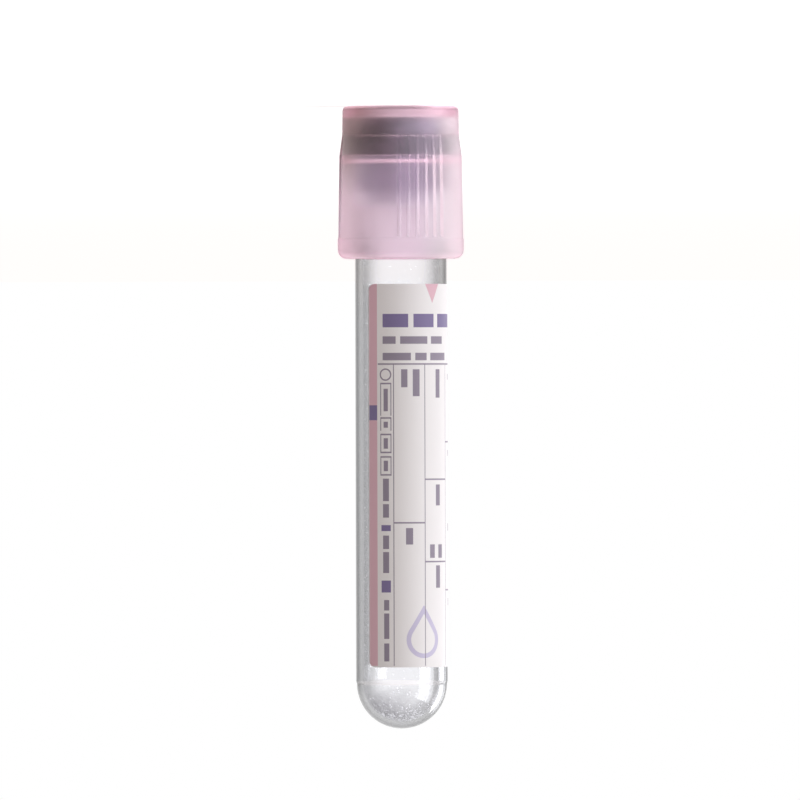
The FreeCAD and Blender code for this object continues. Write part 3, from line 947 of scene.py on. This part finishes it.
class MakeLabel(bpy.types.Operator):
    """Makes the label: a thin film round the tube, with rounded corners and its print."""

    bl_idname = "sample_tube.make_label"
    bl_label = "Make label"

    def execute(self, context):
        sizes = context.scene.sample_tube.label
        inner, outer = TUBE_RADIUS + HAIR, TUBE_RADIUS + sizes.thickness
        width, height = sizes.sweep * outer, LABEL_TOP - LABEL_BOTTOM
        corner = sizes.corner
        bend_steps, middle_steps, columns = 8, 6, 180
        bends = [corner * (1 - math.cos(math.pi / 2 * step / bend_steps)) for step in range(bend_steps + 1)]
        middle = [height / middle_steps * step for step in range(1, middle_steps)]
        rows = bends + middle + [height - bend for bend in reversed(bends)]
        points, spots = [], []
        for radius in (outer, inner):
            for up in rows:
                near = min(up, height - up, corner)
                inset = corner - math.sqrt(corner**2 - (corner - near) ** 2)
                for column in range(columns + 1):
                    across = inset + (width - 2 * inset) * column / columns
                    points.append(place(radius, sizes.left_edge + across / outer, LABEL_BOTTOM + up))
                    spots.append((across / width, up / height))
        wide, tall = columns + 1, len(rows)
        back = wide * tall
        faces = []
        for row in range(tall - 1):
            for column in range(columns):
                a = row * wide + column
                faces.append((a, a + 1, a + wide + 1, a + wide))
                faces.append((a + back, a + back + wide, a + back + wide + 1, a + back + 1))
        bottom = list(range(wide))
        right = [row * wide + columns for row in range(tall)]
        top = [(tall - 1) * wide + column for column in reversed(range(wide))]
        left = [row * wide for row in reversed(range(tall))]
        border = list(dict.fromkeys(bottom + right + top + left))
        for here, there in zip(border, border[1:] + border[:1]):
            faces.append((here, here + back, there + back, there))
        label = new_piece("label_printed", points, faces)
        layer = label.data.uv_layers.new(name="label")
        for loop in label.data.loops:
            layer.data[loop.index].uv = spots[loop.vertex_index]
        for polygon in list(label.data.polygons)[-len(border):]:
            polygon.use_smooth = False
        label.data.materials.append(label_film(sizes, width / MM, height / MM))
        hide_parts("label")
        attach(label, "tube_body")
        return {"FINISHED"}


THINS_OUT = -1.4  # power by which the droplets thin out away from the tip
FAR_SIZE = 0.6  # size of a droplet far from the tip, over its size near it
FLATNESS = 0.5  # height of a droplet over its radius
SIZE_SEED = 7


def droplet_tree():
    """A geometry tree that scatters small droplets over a bowl, most of them near its tip."""
    numbers = ("dense", "smallest", "largest", "tip", "dense_depth", "stray")
    tree, nodes, given = new_geometry_tree("droplets", numbers, ("seed",))
    z = nodes.parts(nodes.add("GeometryNodeInputPosition"))[2]
    down = (given["tip"] - z) / given["dense_depth"]
    near_tip = (down * down + 1).math("POWER", THINS_OUT)
    values = {
        "Mesh": given["Geometry"],
        "Density": given["dense"] * (near_tip | given["stray"]),
        "Seed": given["seed"],
    }
    spread = nodes.add("GeometryNodeDistributePointsOnFaces", values)
    ball = nodes.add("GeometryNodeMeshUVSphere", {"Segments": 8, "Rings": 5, "Radius": 1.0})
    ball = nodes.add("GeometryNodeTransform", {"Geometry": ball, "Translation": (0.0, 0.0, 1.0)})
    values = {2: 0.0, 3: 1.0, "Seed": SIZE_SEED}
    chance = nodes.add("FunctionNodeRandomValue", values, output=1, data_type="FLOAT")
    size = given["smallest"] + (given["largest"] - given["smallest"]) * chance.math("POWER", 2.0)
    size = size * (near_tip * (1 - FAR_SIZE) + FAR_SIZE)
    flat = nodes.add("ShaderNodeCombineXYZ", {"X": size, "Y": size, "Z": size * FLATNESS})
    values = {"Points": spread, "Instance": ball, "Rotation": spread.other("Rotation"), "Scale": flat}
    drops = nodes.add("GeometryNodeInstanceOnPoints", values)
    end_geometry_tree(nodes, drops, given["material"])
    return tree


class MakeAdditive(bpy.types.Operator):
    """Makes the dried additive: fine droplets, dense on the round bottom and sparse up the wall."""

    bl_idname = "sample_tube.make_additive"
    bl_label = "Make dried additive"

    def execute(self, context):
        settings = context.scene.sample_tube
        sizes = settings.additive
        centre_height = TUBE_RADIUS - settings.tube.bottom_step
        bore = TUBE_RADIUS - settings.tube.wall - HAIR
        bowl_steps, wall_steps = 24, 20
        bowl = arc((0, centre_height), bore, -90, 0, bowl_steps)
        rises = [sizes.reach * step / wall_steps for step in range(1, wall_steps + 1)]
        wall = [(bore, centre_height + rise) for rise in rises]
        outline = bowl + wall + [(0, wall[-1][1])]
        additive = turned("additive_dried", outline, even_turns(64))
        shell = bmesh.new()
        shell.from_mesh(additive.data)
        lid = [face for face in shell.faces if min(v.co.to_2d().length for v in face.verts) < HAIR
               and face.calc_center_median().z < TIP - centre_height]
        bmesh.ops.delete(shell, geom=lid, context="FACES")
        bmesh.ops.reverse_faces(shell, faces=shell.faces)
        shell.to_mesh(additive.data)
        shell.free()
        values = {
            "dense": sizes.density / MM**2,
            "tip": TIP - settings.tube.wall,
            "material": dried_white(sizes),
        }
        through_tree(additive, droplet_tree(), sizes, values)
        additive.data.shade_smooth()
        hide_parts("dried_additive")
        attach(additive, "tube_body")
        return {"FINISHED"}


def seen_white(nodes):
    """1 for the rays that show the background: the camera's, reflections and those through clear plastic."""
    rays = nodes.add("ShaderNodeLightPath")
    passing = rays.other("Is Transmission Ray")
    return rays.other("Is Camera Ray") | rays.other("Is Glossy Ray") | passing


class MakeStage(bpy.types.Operator):
    """Makes the pale floor, the soft light and the camera."""

    bl_idname = "sample_tube.make_stage"
    bl_label = "Make stage"
    lamps = {"key": (-0.67, -0.26, 0.32), "rim": (-0.62, 0.58, 0.3)}

    def execute(self, context):
        sizes = context.scene.sample_tube.stage
        self.make_floor(sizes)
        self.make_world(context.scene, sizes)
        for name, spot in self.lamps.items():
            side, power = getattr(sizes, name + "_side"), getattr(sizes, name + "_power")
            self.make_lamp(name, spot, side, power, sizes.lamp_colour)
        self.make_camera(context.scene, sizes)
        context.scene.view_settings.view_transform = "Standard"
        return {"FINISHED"}

    def make_floor(self, sizes):
        """A plain white floor that keeps the object's shadow."""
        half = sizes.floor_size / 2
        points = [(-half, -half, -HAIR), (half, -half, -HAIR), (half, half, -HAIR), (-half, half, -HAIR)]
        mesh = bpy.data.meshes.new("floor")
        mesh.from_pydata(points, [], [(0, 1, 2, 3)])
        floor = new_object("floor", mesh)
        material, nodes = new_material("floor_white")
        matt = nodes.add("ShaderNodeBsdfDiffuse", {"Color": opaque([sizes.floor_white] * 3)})
        strength = seen_white(nodes) * sizes.floor_glow
        glow = nodes.add("ShaderNodeEmission", {"Color": WHITE, "Strength": strength})
        both = nodes.add("ShaderNodeAddShader", {0: matt, 1: glow})
        nodes.add("ShaderNodeOutputMaterial", {"Surface": both})
        mesh.materials.append(material)

    def make_world(self, scene, sizes):
        """Even light from all round, which is white where it is seen."""
        scene.world = scene.world or bpy.data.worlds.new("surroundings")
        scene.world.use_nodes = True
        scene.world.node_tree.nodes.clear()
        nodes = Nodes(scene.world.node_tree)
        seen = seen_white(nodes)
        tint = nodes.mix(seen, opaque(sizes.fill), WHITE)
        strength = seen + (1 - seen) * sizes.surroundings
        light = nodes.add("ShaderNodeBackground", {"Color": tint, "Strength": strength})
        nodes.add("ShaderNodeOutputWorld", {"Surface": light})

    def make_lamp(self, name, spot, side, power, colour_now):
        """One large soft lamp that is turned to the tube."""
        lamp = bpy.data.lights.new(name, "AREA")
        lamp.shape = "SQUARE"
        lamp.size = side
        lamp.energy = power
        lamp.color = colour_now
        holder = new_object(name, lamp)
        holder.location = spot
        aim = Vector((0, 0, TIP / 2)) - holder.location
        holder.rotation_euler = aim.to_track_quat("-Z", "Y").to_euler()

    def make_camera(self, scene, sizes):
        """A long lens in front, level with the tube and turned over: the closure is at the picture's top."""
        data = bpy.data.cameras.new("camera")
        data.lens = sizes.lens
        camera = new_object("camera", data)
        away = sizes.view_height * data.lens / data.sensor_width
        right, up, back = Vector((-1, 0, 0)), Vector((0, 0, -1)), Vector((0, -1, 0))
        turned_over = Matrix((right, up, back)).transposed().to_4x4()
        spot = Vector((sizes.aside, -away, TIP / 2 - sizes.above))
        camera.matrix_world = Matrix.Translation(spot) @ turned_over @ Matrix.Rotation(sizes.lean, 4, "Z")
        scene.camera = camera


STEPS = (MakeTube, MakeStopper, MakeShield, MakeLabel, MakeAdditive, MakeStage)


class SampleTubePanel(bpy.types.Panel):
    """Lists the steps that build the tube."""

    bl_idname = "VIEW3D_PT_sample_tube"
    bl_label = "Sample tube"
    bl_space_type = "VIEW_3D"
    bl_region_type = "UI"
    bl_category = "Sample tube"

    def draw(self, context):
        for step in STEPS:
            self.layout.operator(step.bl_idname)


GROUPS = (TubeSizes, StopperSizes, ShieldSizes, LabelSizes, AdditiveSizes, StageSizes, SampleTube)


def register():
    """Adds the settings, the operators and the panel."""
    for made in (*GROUPS, *STEPS, SampleTubePanel):
        bpy.utils.register_class(made)
    bpy.types.Scene.sample_tube = PointerProperty(type=SampleTube)


def unregister():
    """Takes them away again."""
    del bpy.types.Scene.sample_tube
    for made in (SampleTubePanel, *reversed(STEPS), *reversed(GROUPS)):
        bpy.utils.unregister_class(made)


def main():
    """Builds the tube and its stage."""
    register()
    for scene_object in list(bpy.context.scene.objects):
        if scene_object.name in ("Cube", "Light", "Camera"):
            bpy.data.objects.remove(scene_object)
    bpy.ops.sample_tube.make_tube()
    bpy.ops.sample_tube.make_stopper()
    bpy.ops.sample_tube.make_shield()
    bpy.ops.sample_tube.make_label()
    bpy.ops.sample_tube.make_additive()
    bpy.ops.sample_tube.make_stage()
    bpy.context.view_layer.update()


if __name__ == "__main__":
    main()
